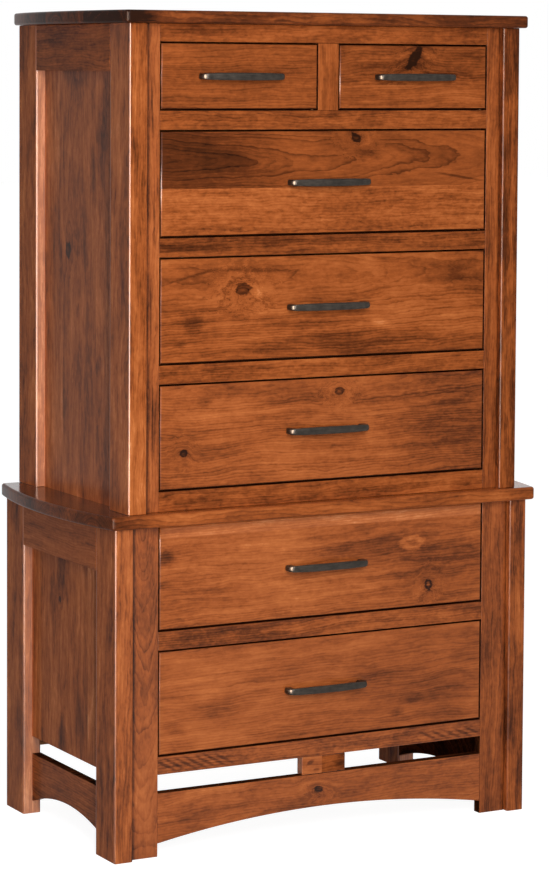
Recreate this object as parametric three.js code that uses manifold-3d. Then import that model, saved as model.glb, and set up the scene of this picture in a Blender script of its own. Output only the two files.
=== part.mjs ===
// Chest on chest: a case of five drawers standing on a wider case of two drawers.
// Millimetres, +X to the right, +Y to the back, +Z up. The drawers face -Y and slide that way.
// The origin is on the floor, below the middle of the whole chest.
import * as THREE from 'three';
import { mergeVertices } from 'three/addons/utils/BufferGeometryUtils.js';
import Module from 'manifold-3d';

// Plan of the two cases
const baseWidth = 914;
const upperInset = 27;
const caseDepth = 510;
const faceSetback = 13;

// Heights, from the floor up
const archEndHeight = 25;
const frontArchRise = 32;
const sideArchRise = 30;
const apronTop = 122;
const slotHeight = 35;
const baseBottomRail = 34;
const wideOpening = 203;
const middleRail = 36;
const baseTopStock = 25;
const upperBottomRail = 38;
const smallOpening = 129;
const topRail = 34;
const topBoardStock = 24;

// Timber sizes
const postFaceWidth = 38;
const postSideWidth = 86;
const postEdgeRadius = 4;
const stileWidth = 31;
const frameStock = 20;
const frameEdgeRadius = 2;
const sideRailHeight = 89;
const panelRecess = 19;
const panelStock = 8;
const backStock = 8;
const dividerWidth = 45;
const spacerWidth = 96;

// The two tops, whose side edges bow outwards
const boardFrontOverhang = 14;
const boardCornerOverhang = 11;
const boardSideBow = 31;
const boardEdgeRadius = 5;
const boardCornerRadius = 3;

// Joints in the carcass
const tenonStock = 8;
const tenonLength = 14;
const tenonShoulder = 7;
const sideTenonInset = 5;
const grooveDepth = 9;
const dadoDepth = 6;
const rebateWidth = 10;

// The web frames that carry the drawers
const webStock = 20;
const webWidth = 50;
const runnerReach = 31;
const centreRunnerWidth = 110;
const guideStock = 12;
const guideHeight = 12;

// Drawers
const drawerSideGap = 2.5;
const drawerHeadGap = 3;
const drawerFootGap = 3;
const drawerEdgeRadius = 3.5;
const boxSideGap = 5;
const boxHeadGap = 12;
const boxBackGap = 14;
const wideBoxWall = 13;
const smallBoxWall = 12;
const boxFloorStock = 6;
const boxFloorRecess = 10;
const guideGap = 1;

// Bar pulls and their screws
const pullLength = 176;
const pullHeight = 14.5;
const pullEndReach = 23;
const pullMiddleReach = 27;
const pullBarStock = 6;
const pullFootWidth = 16;
const pullBend = 9;
const pullEdgeRadius = 1.4;
const screwRadius = 2.2;
const screwHeadRadius = 4.5;
const screwHeadStock = 3;
const screwHold = 8;
const screwClearance = 0.5;

// Clearances, and how far a cut runs past what it cuts
const fit = 0.3;
const overrun = 5;

// Facets on round stretches
const smallRoundSteps = 2;
const edgeRoundSteps = 3;
const archSteps = 12;
const bowSteps = 6;
const pullSteps = 4;
const pullEdgeSteps = 1;
const screwSides = 8;

// The wide drawers of the upper case, from the bottom up
const wideNames = ['lower', 'middle', 'upper'];

// Levels worked out from the heights
const slotTop = apronTop + slotHeight;
const lowerOpeningLow = slotTop + baseBottomRail;
const upperOpeningLow = lowerOpeningLow + wideOpening + middleRail;
const baseCaseHeight = upperOpeningLow + wideOpening;
const upperCaseFloor = baseCaseHeight + baseTopStock;
const wideStep = wideOpening + middleRail;
const smallOpeningLow = upperBottomRail + wideStep * wideNames.length;
const upperCaseHeight = smallOpeningLow + smallOpening + topRail;

// Planes worked out from the plan. The upper case's stiles stand beside its posts, and the base
// case's openings are as wide as the upper ones.
const openingWidth = baseWidth - 2 * (upperInset + postFaceWidth + stileWidth);
const pullProud = pullMiddleReach - faceSetback;
const frontReach = Math.max(boardFrontOverhang, pullProud);
const postFront = frontReach - (caseDepth + frontReach) / 2;
const postBack = postFront + caseDepth;
const faceFront = postFront + faceSetback;
const faceBack = faceFront + frameStock;
const webFront = faceBack + fit;
const webBack = postBack - backStock - fit;
const sideFront = postFront + postSideWidth;
const sideBack = postBack - postSideWidth;
const jamb = openingWidth / 2;
const sideRailStock = postFaceWidth - dadoDepth;
const apronStock = postFaceWidth - panelRecess;
const apronTenonInset = panelRecess + (apronStock - tenonStock) / 2;
const sides = { left: -1, right: 1 };

const baseCase = { halfWidth: baseWidth / 2, height: baseCaseHeight };
const upperCase = { halfWidth: baseWidth / 2 - upperInset, height: upperCaseHeight };

const wasm = await Module();
wasm.setup();

const caseWood = woodMaterial(0x9c5228, 0.38);
const boxWood = woodMaterial(0xc9a46f, 0.6);
const pullBronze = new THREE.MeshStandardMaterial({
  color: 0x3c3833,
  roughness: 0.38,
  metalness: 0.9,
  flatShading: true,
});

function woodMaterial(color, roughness) {
  return new THREE.MeshStandardMaterial({ color, roughness, metalness: 0, flatShading: true });
}

// A closed geometry as a solid that can be joined and cut.
function solidOf(geometry) {
  const bare = geometry.clone();
  bare.deleteAttribute('normal');
  bare.deleteAttribute('uv');
  const merged = mergeVertices(bare);
  return new wasm.Manifold(
    new wasm.Mesh({
      numProp: 3,
      vertProperties: new Float32Array(merged.attributes.position.array),
      triVerts: new Uint32Array(merged.index.array),
    }),
  );
}

function geometryOf(solid) {
  const { vertProperties, triVerts } = solid.getMesh();
  const geometry = new THREE.BufferGeometry();
  geometry.setAttribute('position', new THREE.BufferAttribute(vertProperties, 3));
  geometry.setIndex(new THREE.BufferAttribute(triVerts, 1));
  geometry.computeVertexNormals();
  return geometry;
}

// Adds every geometry of one list to the first, then takes away every geometry of the other.
function shaped(first, added, removed) {
  let solid = solidOf(first);
  for (const geometry of added) {
    solid = solid.add(solidOf(geometry));
  }
  for (const geometry of removed) {
    solid = solid.subtract(solidOf(geometry));
  }
  return geometryOf(solid);
}

function place(parent, name, geometry, material) {
  const mesh = new THREE.Mesh(geometry, material);
  mesh.name = name;
  parent.add(mesh);
}

// A squared block between two opposite corners, given in any order.
function block(cornerA, cornerB) {
  const a = new THREE.Vector3(...cornerA);
  const b = new THREE.Vector3(...cornerB);
  const low = a.clone().min(b);
  const size = a.clone().max(b).sub(low);
  const geometry = new THREE.BoxGeometry(size.x, size.y, size.z);
  geometry.translate(low.x + size.x / 2, low.y + size.y / 2, low.z + size.z / 2);
  return geometry;
}

// The ways an outline can be swept: the outline's own two axes, then the sweep.
const sweepBases = {
  alongX: [new THREE.Vector3(0, 1, 0), new THREE.Vector3(0, 0, 1), new THREE.Vector3(1, 0, 0)],
  alongY: [new THREE.Vector3(0, 0, 1), new THREE.Vector3(1, 0, 0), new THREE.Vector3(0, 1, 0)],
  alongZ: [new THREE.Vector3(1, 0, 0), new THREE.Vector3(0, 1, 0), new THREE.Vector3(0, 0, 1)],
  forwards: [new THREE.Vector3(1, 0, 0), new THREE.Vector3(0, 0, 1), new THREE.Vector3(0, -1, 0)],
};

function sweep(outline, length, way, steps) {
  const geometry = new THREE.ExtrudeGeometry(outline, {
    depth: length,
    bevelEnabled: false,
    curveSegments: steps,
  });
  geometry.applyMatrix4(new THREE.Matrix4().makeBasis(...sweepBases[way]));
  return geometry;
}

// A rectangle about its own middle with all four corners rounded.
function roundedRectangle(width, height, radius) {
  const u = width / 2;
  const v = height / 2;
  const outline = new THREE.Shape();
  outline.absarc(u - radius, v - radius, radius, 0, Math.PI / 2);
  outline.absarc(radius - u, v - radius, radius, Math.PI / 2, Math.PI);
  outline.absarc(radius - u, radius - v, radius, Math.PI, Math.PI * 1.5);
  outline.absarc(u - radius, radius - v, radius, Math.PI * 1.5, Math.PI * 2);
  return outline;
}

// A bar with rounded long edges between two corners, low corner first, lying along one axis.
function bar(low, high, radius, way) {
  const [width, depth, height] = high.map((value, axis) => value - low[axis]);
  const middle = high.map((value, axis) => (value + low[axis]) / 2);
  const sections = {
    alongX: [depth, height, width],
    alongY: [height, width, depth],
    alongZ: [width, depth, height],
  };
  const [u, v, length] = sections[way];
  const geometry = sweep(roundedRectangle(u, v, radius), length, way, smallRoundSteps);
  const ends = {
    alongX: [low[0], middle[1], middle[2]],
    alongY: [middle[0], low[1], middle[2]],
    alongZ: [middle[0], middle[1], low[2]],
  };
  geometry.translate(...ends[way]);
  return geometry;
}

// Corner posts. Each is one stick, grooved for the side panel, mortised for the side rail and
// the aprons, housed for the web frames and, at the back, rebated for the back panel.
function post(chestCase, side, end, cuts) {
  const outer = side * chestCase.halfWidth;
  const inner = side * (chestCase.halfWidth - postFaceWidth);
  const near = end === 'front' ? postFront : sideBack;
  const body = bar(
    [Math.min(outer, inner), near, chestCase.floor],
    [Math.max(outer, inner), near + postSideWidth, chestCase.height - fit],
    postEdgeRadius,
    'alongZ',
  );
  const inwards = end === 'front' ? 1 : -1;
  const sideFace = end === 'front' ? sideFront : sideBack;
  const fromOuter = (distance) => side * (chestCase.halfWidth - distance);
  const removed = [];
  const groove = cuts.panel;
  removed.push(
    block(
      [fromOuter(panelRecess - fit), sideFace + inwards * overrun, groove.low - fit],
      [
        fromOuter(panelRecess + panelStock + fit),
        sideFace - inwards * grooveDepth,
        groove.high + fit,
      ],
    ),
  );
  for (const mortise of cuts.sideMortises) {
    removed.push(
      block(
        [fromOuter(mortise.inset - fit), sideFace + inwards * overrun, mortise.low - fit],
        [
          fromOuter(mortise.inset + tenonStock + fit),
          sideFace - inwards * (tenonLength + fit),
          mortise.high + fit,
        ],
      ),
    );
  }
  const dadoFar = end === 'front' ? faceBack : webBack + fit;
  for (const frame of cuts.frames) {
    removed.push(
      block(
        [fromOuter(sideRailStock), sideFace + inwards * overrun, frame.low - fit],
        [fromOuter(postFaceWidth + overrun), dadoFar, frame.high + fit],
      ),
    );
  }
  if (end === 'back') {
    removed.push(
      block(
        [fromOuter(postFaceWidth - rebateWidth), postBack - backStock - fit, cuts.backLow - fit],
        [fromOuter(postFaceWidth + overrun), postBack + overrun, chestCase.height + overrun],
      ),
    );
    for (const rail of cuts.backRails) {
      const railMiddle = webBack - frameStock / 2;
      removed.push(
        block(
          [
            fromOuter(postFaceWidth - tenonLength - fit),
            railMiddle - tenonStock / 2 - fit,
            rail.low + tenonShoulder - fit,
          ],
          [
            fromOuter(postFaceWidth + overrun),
            railMiddle + tenonStock / 2 + fit,
            rail.high - tenonShoulder + fit,
          ],
        ),
      );
    }
  }
  return shaped(body, [], removed);
}

// Face-frame stiles, mortised on the drawer side for the tenons of the rails.
function stile(chestCase, side, rails) {
  const outer = side * (chestCase.halfWidth - postFaceWidth - fit);
  const inner = side * jamb;
  const body = bar(
    [Math.min(outer, inner), faceFront, chestCase.floor],
    [Math.max(outer, inner), faceBack, chestCase.height - fit],
    frameEdgeRadius,
    'alongZ',
  );
  const removed = rails.map((rail) =>
    block(
      [
        inner - side * overrun,
        faceFront + (frameStock - tenonStock) / 2 - fit,
        rail.low + tenonShoulder - fit,
      ],
      [
        inner + side * (tenonLength + fit),
        faceFront + (frameStock + tenonStock) / 2 + fit,
        rail.high - tenonShoulder + fit,
      ],
    ),
  );
  return shaped(body, [], removed);
}

// The two stub tenons of a rail that runs between the stiles.
function faceTenons(low, high) {
  return Object.values(sides).map((side) =>
    block(
      [
        side * (jamb - tenonLength),
        faceFront + (frameStock - tenonStock) / 2,
        low + tenonShoulder,
      ],
      [
        side * (jamb + tenonLength),
        faceFront + (frameStock + tenonStock) / 2,
        high - tenonShoulder,
      ],
    ),
  );
}

// A web frame: the rail that shows, glued to a frame of runners that carries the drawers above
// and keeps the ones below from tipping. Its outer edges are housed in the posts.
function webFrame(chestCase, { low, high, centre = false, guides = false }) {
  const edge = chestCase.halfWidth - sideRailStock - fit;
  const railEnd = jamb - fit;
  const runnerInner = jamb - runnerReach;
  const inRail = faceFront + frameStock / 2;
  const webLow = high - webStock;
  const rail = bar(
    [-railEnd, faceFront, low],
    [railEnd, faceBack, high],
    frameEdgeRadius,
    'alongX',
  );
  const added = faceTenons(low, high);
  added.push(block([-railEnd, inRail, webLow], [railEnd, webFront + webWidth, high]));
  added.push(block([-edge, webFront, webLow], [edge, webFront + webWidth, high]));
  added.push(block([-edge, webBack - webWidth, webLow], [edge, webBack, high]));
  for (const side of Object.values(sides)) {
    added.push(block([side * runnerInner, webFront, low], [side * edge, webBack, high]));
    added.push(block([side * runnerInner, inRail, low], [side * railEnd, webFront + webWidth, high]));
    if (guides) {
      const guideInner = jamb - boxSideGap + guideGap;
      added.push(
        block(
          [side * guideInner, webFront, webLow],
          [side * (guideInner + guideStock), webBack, high + guideHeight],
        ),
      );
    }
  }
  if (centre) {
    const half = centreRunnerWidth / 2;
    added.push(block([-half, inRail, low], [half, webBack, high]));
  }
  return shaped(rail, added, []);
}

// Side rails, flush with the posts, grooved below for the panel.
function sideRail(chestCase, side) {
  const outer = side * chestCase.halfWidth;
  const inner = side * (chestCase.halfWidth - sideRailStock);
  const low = chestCase.height - fit - sideRailHeight;
  const high = chestCase.height - fit;
  const body = bar(
    [Math.min(outer, inner), sideFront + fit, low],
    [Math.max(outer, inner), sideBack - fit, high],
    frameEdgeRadius,
    'alongY',
  );
  const fromOuter = (distance) => side * (chestCase.halfWidth - distance);
  const tenons = block(
    [fromOuter(sideTenonInset), sideFront - tenonLength, low + tenonShoulder],
    [fromOuter(sideTenonInset + tenonStock), sideBack + tenonLength, high - tenonShoulder],
  );
  const groove = block(
    [fromOuter(panelRecess - fit), sideFront - overrun, low - overrun],
    [fromOuter(panelRecess + panelStock + fit), sideBack + overrun, low + grooveDepth],
  );
  return shaped(body, [tenons], [groove]);
}

function sidePanel(chestCase, side, low) {
  const tongue = grooveDepth - fit;
  const railLow = chestCase.height - fit - sideRailHeight;
  return block(
    [side * (chestCase.halfWidth - panelRecess), sideFront - tongue, low],
    [side * (chestCase.halfWidth - panelRecess - panelStock), sideBack + tongue, railLow + tongue],
  );
}

function backPanel(chestCase, low) {
  const reach = chestCase.halfWidth - postFaceWidth + rebateWidth - fit;
  return block([-reach, postBack - backStock, low], [reach, postBack, chestCase.height - fit]);
}

// An apron's outline about its middle: straight top and ends, and a low arch below.
function apronOutline(length, rise) {
  const half = length / 2;
  const radius = (half * half + rise * rise) / (2 * rise);
  const swing = Math.asin(half / radius);
  const outline = new THREE.Shape();
  const centreHeight = archEndHeight + rise - radius;
  const start = Math.PI / 2 + swing;
  const end = Math.PI / 2 - swing;
  outline.absarc(0, centreHeight, radius, start, end, true);
  outline.lineTo(half, apronTop);
  outline.lineTo(-half, apronTop);
  outline.closePath();
  return outline;
}

function frontApron() {
  const length = openingWidth - 2 * fit;
  const body = sweep(apronOutline(length, frontArchRise), frameStock, 'forwards', archSteps);
  body.translate(0, faceBack, 0);
  return shaped(body, faceTenons(archEndHeight, apronTop), []);
}

// A side apron fills the posts' width behind the recess, so it is flush with them inside.
function sideApron(side) {
  const length = sideBack - sideFront - 2 * fit;
  const body = sweep(apronOutline(length, sideArchRise), apronStock, 'alongX', archSteps);
  const outer = side * (baseCase.halfWidth - panelRecess);
  const inner = side * (baseCase.halfWidth - postFaceWidth);
  body.translate(Math.min(outer, inner), (sideFront + sideBack) / 2, 0);
  const tenonOuter = side * (baseCase.halfWidth - apronTenonInset);
  const tenons = [sideFront, sideBack].map((face) =>
    block(
      [tenonOuter, face - tenonLength, archEndHeight + tenonShoulder],
      [tenonOuter - side * tenonStock, face + tenonLength, apronTop - tenonShoulder],
    ),
  );
  return shaped(body, tenons, []);
}

// The lower back rail ties the back posts together below the back panel.
function backRail() {
  const end = baseCase.halfWidth - postFaceWidth - fit;
  const near = webBack - frameStock;
  const body = bar(
    [-end, near, apronTop],
    [end, webBack, slotTop - fit],
    frameEdgeRadius,
    'alongX',
  );
  const reach = baseCase.halfWidth - postFaceWidth + tenonLength;
  const middle = near + frameStock / 2;
  const tenons = block(
    [-reach, middle - tenonStock / 2, apronTop + tenonShoulder],
    [reach, middle + tenonStock / 2, slotTop - fit - tenonShoulder],
  );
  return shaped(body, [tenons], []);
}

// A top's outline in plan: straight front and back, side edges bowed outwards, soft corners.
// The corners' radius on the flat faces grows by the edge's own round to the outline's.
function topOutline(chestCase) {
  const near = postFront - boardFrontOverhang;
  const far = postBack;
  const corner = chestCase.halfWidth + boardCornerOverhang;
  const round = boardEdgeRadius + boardCornerRadius;
  const half = (far - near) / 2;
  const middle = (far + near) / 2;
  const radius = (half * half + boardSideBow * boardSideBow) / (2 * boardSideBow);
  const centre = corner + boardSideBow - radius;
  const swing = Math.asin((half - round) / radius);
  const atSwing = centre + radius * Math.cos(swing);
  const outline = new THREE.Shape();
  outline.absarc(centre, middle, radius, -swing, swing);
  outline.quadraticCurveTo(corner, far, corner - round, far);
  outline.lineTo(round - corner, far);
  outline.quadraticCurveTo(-corner, far, -atSwing, far - round);
  outline.absarc(-centre, middle, radius, Math.PI - swing, Math.PI + swing);
  outline.quadraticCurveTo(-corner, near, round - corner, near);
  outline.lineTo(corner - round, near);
  outline.quadraticCurveTo(corner, near, atSwing, near + round);
  return outline;
}

function topBoard(chestCase, stock) {
  const geometry = new THREE.ExtrudeGeometry(topOutline(chestCase), {
    depth: stock - 2 * boardEdgeRadius,
    bevelThickness: boardEdgeRadius,
    bevelSize: boardEdgeRadius,
    bevelOffset: -boardEdgeRadius,
    bevelSegments: edgeRoundSteps,
    curveSegments: bowSteps,
  });
  geometry.translate(0, 0, boardEdgeRadius);
  return geometryOf(solidOf(geometry));
}

// Drawers. Each has its own frame: x about its middle, y from its face, z from its opening.
const pullCentres = pullLength - pullFootWidth;
const boxFront = frameStock + fit;
const boxBack = webBack - faceFront - boxBackGap;

function screwCylinder(x, z, radius, near, far) {
  const geometry = new THREE.CylinderGeometry(radius, radius, far - near, screwSides);
  geometry.translate(x, (near + far) / 2, z);
  return geometry;
}

function screwHoles(height, wall) {
  return Object.values(sides).map((side) =>
    screwCylinder(
      (side * pullCentres) / 2,
      height / 2,
      screwRadius + screwClearance,
      -overrun,
      boxFront + wall + overrun,
    ),
  );
}

// The front board, inset in the opening, with its four front edges rounded over.
function drawerFront(width, height, wall) {
  const half = width / 2 - drawerSideGap;
  const low = drawerFootGap;
  const high = height - drawerHeadGap;
  const outline = new THREE.Shape();
  outline.moveTo(-half, low);
  outline.lineTo(half, low);
  outline.lineTo(half, high);
  outline.lineTo(-half, high);
  outline.closePath();
  const geometry = new THREE.ExtrudeGeometry(outline, {
    depth: frameStock - drawerEdgeRadius,
    bevelThickness: drawerEdgeRadius,
    bevelSize: drawerEdgeRadius,
    bevelOffset: -drawerEdgeRadius,
    bevelSegments: edgeRoundSteps,
  });
  geometry.applyMatrix4(new THREE.Matrix4().makeBasis(...sweepBases.forwards));
  geometry.translate(0, frameStock, 0);
  const behind = block(
    [-half - overrun, frameStock, low - overrun],
    [half + overrun, frameStock + drawerEdgeRadius + overrun, high + overrun],
  );
  return shaped(geometry, [], [behind, ...screwHoles(height, wall)]);
}

// The box: sides, inner front, back and a floor let in above their lower edges, glued up.
function drawerBox(width, height, wall) {
  const half = width / 2 - boxSideGap;
  const low = fit;
  const high = height - boxHeadGap;
  const floorLow = low + boxFloorRecess;
  const body = block([-half, boxFront, low], [half, boxBack, high]);
  const inside = half - wall;
  const above = block(
    [-inside, boxFront + wall, floorLow + boxFloorStock],
    [inside, boxBack - wall, high + overrun],
  );
  const below = block(
    [-inside, boxFront + wall, low - overrun],
    [inside, boxBack - wall, floorLow],
  );
  return shaped(body, [], [above, below, ...screwHoles(height, wall)]);
}

// The pull: a flat bar, bowed outwards, with its ends turned back to two feet.
// A machine screw runs from inside the box into each foot.
function pull(height, wall) {
  const half = pullLength / 2;
  const inHalf = half - pullFootWidth;
  const inReach = pullEndReach - pullBarStock;
  const crown = 2 * pullMiddleReach - pullEndReach;
  const inCrown = crown - pullBarStock;
  const outline = new THREE.Shape();
  outline.moveTo(-half, -fit);
  outline.lineTo(-half, pullBend - pullEndReach);
  outline.quadraticCurveTo(-half, -pullEndReach, pullBend - half, -pullEndReach);
  outline.quadraticCurveTo(0, -crown, half - pullBend, -pullEndReach);
  outline.quadraticCurveTo(half, -pullEndReach, half, pullBend - pullEndReach);
  outline.lineTo(half, -fit);
  outline.lineTo(inHalf, -fit);
  outline.lineTo(inHalf, pullBarStock - inReach);
  outline.quadraticCurveTo(inHalf, -inReach, inHalf - pullBarStock, -inReach);
  outline.quadraticCurveTo(0, -inCrown, pullBarStock - inHalf, -inReach);
  outline.quadraticCurveTo(-inHalf, -inReach, -inHalf, pullBarStock - inReach);
  outline.lineTo(-inHalf, -fit);
  outline.closePath();
  const geometry = new THREE.ExtrudeGeometry(outline, {
    depth: pullHeight - 2 * pullEdgeRadius,
    bevelThickness: pullEdgeRadius,
    bevelSize: pullEdgeRadius,
    bevelOffset: -pullEdgeRadius,
    bevelSegments: pullEdgeSteps,
    curveSegments: pullSteps,
  });
  geometry.translate(0, 0, pullEdgeRadius - pullHeight / 2 + height / 2);
  const headNear = boxFront + wall + fit;
  const screws = [];
  for (const side of Object.values(sides)) {
    const x = (side * pullCentres) / 2;
    screws.push(screwCylinder(x, height / 2, screwRadius, -screwHold, headNear + screwHeadStock));
    screws.push(screwCylinder(x, height / 2, screwHeadRadius, headNear, headNear + screwHeadStock));
  }
  return shaped(geometry, screws, []);
}

// The two sizes of drawer
const wideDrawer = { width: openingWidth, height: wideOpening, wall: wideBoxWall };
const smallDrawer = {
  width: (openingWidth - dividerWidth) / 2,
  height: smallOpening,
  wall: smallBoxWall,
};

function drawer(name, middle, openingLow, { width, height, wall }) {
  const group = new THREE.Group();
  group.position.set(middle, faceFront, openingLow);
  place(group, `${name}_front`, drawerFront(width, height, wall), caseWood);
  place(group, `${name}_box`, drawerBox(width, height, wall), boxWood);
  place(group, `${name}_pull`, pull(height, wall), pullBronze);
  return group;
}

// Everything that the posts and stiles of a case are cut for.
function carcassCuts(chestCase, frames, panelLow, backLow) {
  const railHigh = chestCase.height - fit;
  const railLow = railHigh - sideRailHeight;
  return {
    panel: { low: panelLow, high: railLow + grooveDepth },
    sideMortises: [
      { inset: sideTenonInset, low: railLow + tenonShoulder, high: railHigh - tenonShoulder },
    ],
    frames,
    backLow,
    backRails: [],
  };
}

function addCarcass(group, prefix, chestCase, cuts, faceRails, material) {
  for (const [sideName, side] of Object.entries(sides)) {
    for (const end of ['front', 'back']) {
      place(group, `${prefix}_post_${end}_${sideName}`, post(chestCase, side, end, cuts), material);
    }
    place(group, `${prefix}_stile_${sideName}`, stile(chestCase, side, faceRails), material);
    place(group, `${prefix}_side_rail_${sideName}`, sideRail(chestCase, side), material);
    const panel = sidePanel(chestCase, side, cuts.panel.low);
    place(group, `${prefix}_side_panel_${sideName}`, panel, material);
  }
  place(group, `${prefix}_back_panel`, backPanel(chestCase, cuts.backLow), material);
}

// Base case
function buildBase() {
  const group = new THREE.Group();
  const chestCase = { ...baseCase, floor: 0 };
  const bottomFrame = { low: slotTop, high: lowerOpeningLow, guides: true };
  const middleFrame = { low: upperOpeningLow - middleRail, high: upperOpeningLow, guides: true };
  const frames = [bottomFrame, middleFrame];
  const cuts = carcassCuts(chestCase, frames, slotTop, slotTop);
  cuts.sideMortises.push({
    inset: apronTenonInset,
    low: archEndHeight + tenonShoulder,
    high: apronTop - tenonShoulder,
  });
  cuts.backRails.push({ low: apronTop, high: slotTop - fit });
  const faceRails = [...frames, { low: archEndHeight, high: apronTop }];
  addCarcass(group, 'base', chestCase, cuts, faceRails, caseWood);
  place(group, 'base_frame_bottom', webFrame(chestCase, bottomFrame), caseWood);
  place(group, 'base_frame_middle', webFrame(chestCase, middleFrame), caseWood);
  place(group, 'base_apron_front', frontApron(), caseWood);
  for (const [sideName, side] of Object.entries(sides)) {
    place(group, `base_apron_${sideName}`, sideApron(side), caseWood);
  }
  place(group, 'base_back_rail', backRail(), caseWood);
  const spacer = bar(
    [-spacerWidth / 2, faceFront, apronTop + fit],
    [spacerWidth / 2, faceBack, slotTop - fit],
    frameEdgeRadius,
    'alongZ',
  );
  place(group, 'base_spacer', geometryOf(solidOf(spacer)), caseWood);

  const top = new THREE.Group();
  top.position.z = baseCaseHeight;
  place(top, 'base_top', topBoard(baseCase, baseTopStock), caseWood);
  group.add(top);
  group.add(drawer('base_drawer_lower', 0, lowerOpeningLow, wideDrawer));
  group.add(drawer('base_drawer_upper', 0, upperOpeningLow, wideDrawer));
  return group;
}

// Upper case, whose heights are counted from the top of the base's top
function buildUpper() {
  const group = new THREE.Group();
  group.position.z = upperCaseFloor;
  const chestCase = { ...upperCase, floor: fit };
  const frameUnder = (openingLow) => ({
    low: openingLow - middleRail,
    high: openingLow,
    guides: true,
  });
  const frames = {
    bottom: { low: fit, high: upperBottomRail, guides: true },
    lower: frameUnder(upperBottomRail + wideStep),
    upper: frameUnder(upperBottomRail + wideStep * 2),
    small: { ...frameUnder(smallOpeningLow), centre: true },
    top: { low: smallOpeningLow + smallOpening, high: chestCase.height - fit },
  };
  const frameList = Object.values(frames);
  addCarcass(
    group,
    'upper',
    chestCase,
    carcassCuts(chestCase, frameList, fit, fit),
    frameList,
    caseWood,
  );
  for (const [name, frame] of Object.entries(frames)) {
    place(group, `upper_frame_${name}`, webFrame(chestCase, frame), caseWood);
  }
  const divider = bar(
    [-dividerWidth / 2, faceFront, smallOpeningLow + fit],
    [dividerWidth / 2, faceBack, frames.top.low - fit],
    frameEdgeRadius,
    'alongZ',
  );
  place(group, 'upper_divider', geometryOf(solidOf(divider)), caseWood);
  const guideHalf = dividerWidth / 2 + boxSideGap - guideGap;
  const guideLow = smallOpeningLow + fit;
  const guide = block(
    [-guideHalf, webFront, guideLow],
    [guideHalf, webBack, guideLow + guideHeight],
  );
  place(group, 'upper_centre_guide', guide, caseWood);

  const top = new THREE.Group();
  top.position.z = upperCaseHeight;
  place(top, 'top_board', topBoard(upperCase, topBoardStock), caseWood);
  group.add(top);
  wideNames.forEach((name, level) => {
    const openingLow = upperBottomRail + wideStep * level;
    group.add(drawer(`wide_drawer_${name}`, 0, openingLow, wideDrawer));
  });
  for (const [sideName, side] of Object.entries(sides)) {
    const middle = (side * (dividerWidth + smallDrawer.width)) / 2;
    group.add(drawer(`small_drawer_${sideName}`, middle, smallOpeningLow, smallDrawer));
  }
  return group;
}

const chest = new THREE.Group();
chest.add(buildBase());
chest.add(buildUpper());

export default chest;
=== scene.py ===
# Chest on chest in stained cherry: a case of five drawers standing on a wider case of two.
# Metres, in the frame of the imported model: +X to the right, +Y to the back, +Z up.
import math

import bmesh
import bpy
from mathutils import Matrix, Vector


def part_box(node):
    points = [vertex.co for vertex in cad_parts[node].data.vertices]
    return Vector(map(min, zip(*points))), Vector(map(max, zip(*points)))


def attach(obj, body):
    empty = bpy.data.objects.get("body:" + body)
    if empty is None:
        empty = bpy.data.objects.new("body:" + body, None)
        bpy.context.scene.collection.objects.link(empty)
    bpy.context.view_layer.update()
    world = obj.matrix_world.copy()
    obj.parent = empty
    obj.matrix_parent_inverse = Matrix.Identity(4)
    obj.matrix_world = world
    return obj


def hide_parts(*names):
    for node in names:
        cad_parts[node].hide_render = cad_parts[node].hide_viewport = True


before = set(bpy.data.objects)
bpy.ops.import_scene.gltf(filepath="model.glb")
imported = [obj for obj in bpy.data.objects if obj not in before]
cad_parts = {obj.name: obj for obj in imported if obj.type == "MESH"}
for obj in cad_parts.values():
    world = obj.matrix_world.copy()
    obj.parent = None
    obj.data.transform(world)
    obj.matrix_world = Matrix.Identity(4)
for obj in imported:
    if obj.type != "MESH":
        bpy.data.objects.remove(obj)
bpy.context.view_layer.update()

# Camera. It stands in front of the chest and to its left, a little below the chest's top, and
# looks slightly down; the lens is shifted so that the chest fills the frame.
camera_data = bpy.data.cameras.new("camera")
camera_data.lens = 121.62
camera_data.sensor_width = 36.0
camera_data.shift_x = 0.0045
camera_data.shift_y = -0.2
camera = bpy.data.objects.new("camera", camera_data)
camera_yaw, camera_pitch, camera_roll = (math.radians(a) for a in (28.554, 3.698, 0.333))
camera_turn = Matrix.Rotation(-camera_yaw, 4, "Z")
camera_turn @= Matrix.Rotation(math.pi / 2 - camera_pitch, 4, "X")
camera_turn @= Matrix.Rotation(camera_roll, 4, "Z")
camera_place = (-2.8111, -5.1722, 1.4877)
camera.matrix_world = Matrix.Translation(camera_place) @ camera_turn
bpy.context.scene.collection.objects.link(camera)
bpy.context.scene.camera = camera
bpy.context.scene.view_settings.view_transform = "Standard"


# Studio. A pale paper floor runs out under the chest, and the room round it is white. The floor
# is bright to the eye but keeps the chest's soft shadow.
def add(tree, kind, inputs=None, **settings):
    """A node with its settings made and each named input given a value or a link."""
    node = tree.nodes.new(kind)
    for name, value in settings.items():
        setattr(node, name, value)
    for name, value in (inputs or {}).items():
        if isinstance(value, bpy.types.NodeSocket):
            tree.links.new(value, node.inputs[name])
        else:
            node.inputs[name].default_value = value
    return node


def calc(tree, operation, *values):
    """The result of a Math node."""
    node = add(tree, "ShaderNodeMath", dict(enumerate(values)), operation=operation)
    return node.outputs[0]


def vector(tree, operation, *values):
    """The result of a Vector Math node."""
    node = add(tree, "ShaderNodeVectorMath", dict(enumerate(values)), operation=operation)
    return node.outputs[0]


def point(tree, *values):
    """Three values joined into one point."""
    return add(tree, "ShaderNodeCombineXYZ", dict(enumerate(values))).outputs[0]


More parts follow.
